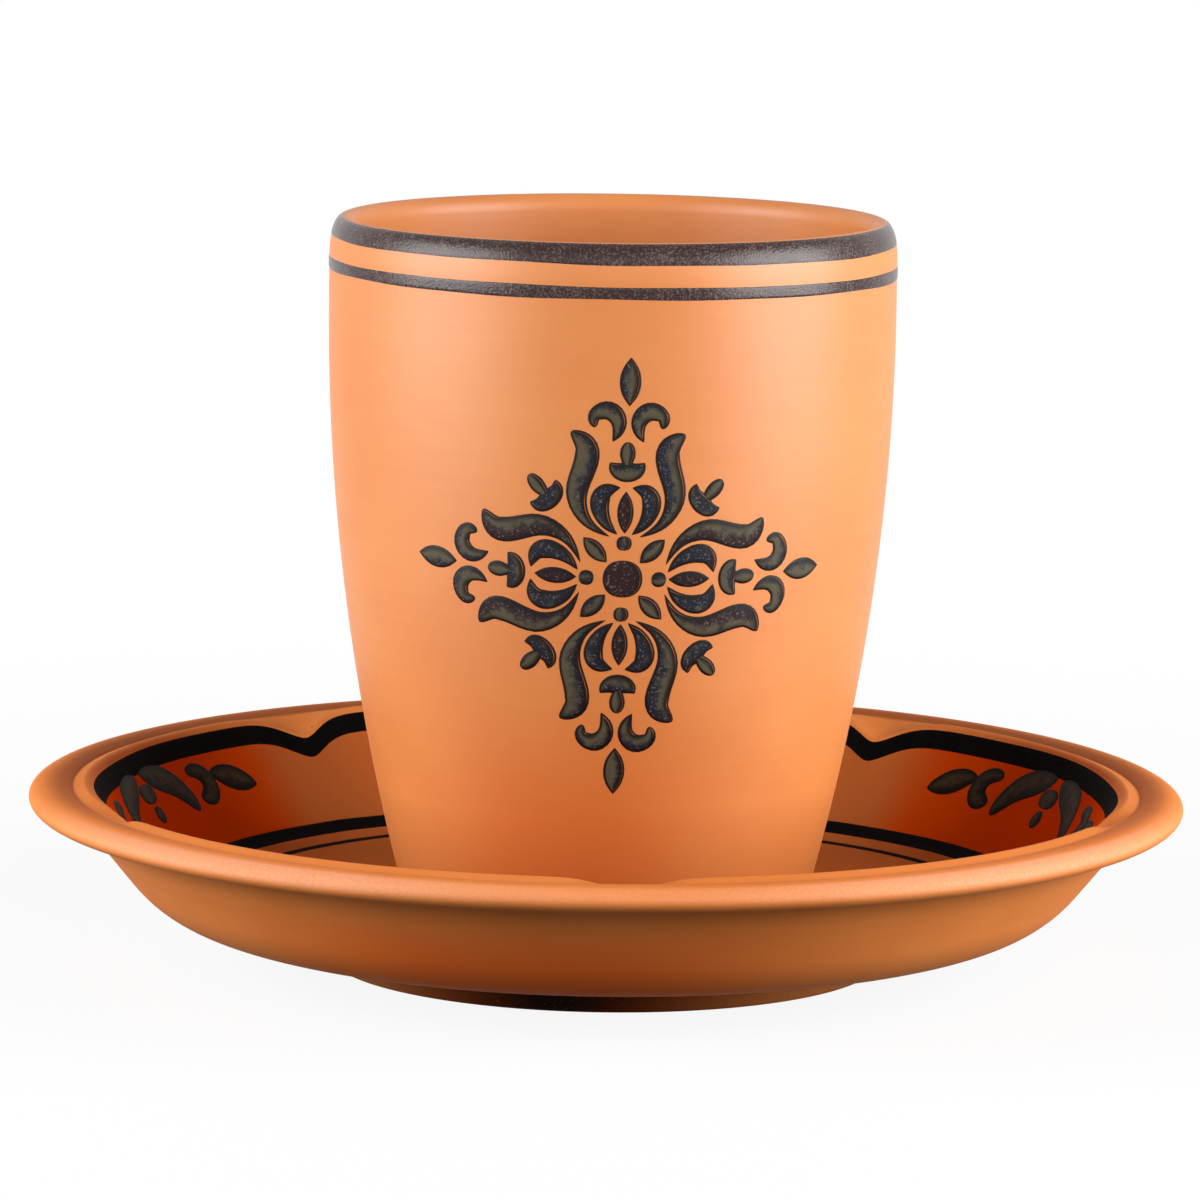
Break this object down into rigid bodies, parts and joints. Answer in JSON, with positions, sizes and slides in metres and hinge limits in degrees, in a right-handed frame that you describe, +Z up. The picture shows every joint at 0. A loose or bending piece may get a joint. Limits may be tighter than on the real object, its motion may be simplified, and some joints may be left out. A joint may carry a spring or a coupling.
{
  "type": "tea cup",
  "caption": "Tapered terracotta tea cup without a handle, standing in a round saucer with a rolled lip, a lobed well and a foot ring.",
  "frame": {"origin": "centre of the saucer's foot ring, on the table", "axes": "+Z up along the axis of cup and saucer, -Y towards the viewer: one cusp of the saucer and the painted side of the cup face -Y"},
  "size_m": [0.1548, 0.155, 0.1002],
  "materials": {
    "saucer_clay": "satin terracotta",
    "cup_clay": "satin terracotta"
  },
  "bodies": {
    "saucer": {"saucer": "saucer_clay"},
    "cup": {"cup": "cup_clay"}
  },
  "joints": [
    {"name": "cup_lift", "type": "slide", "parent": "saucer", "child": "cup", "axis": [0, 0, 1], "range_m": [0, 0.1]}
  ]
}
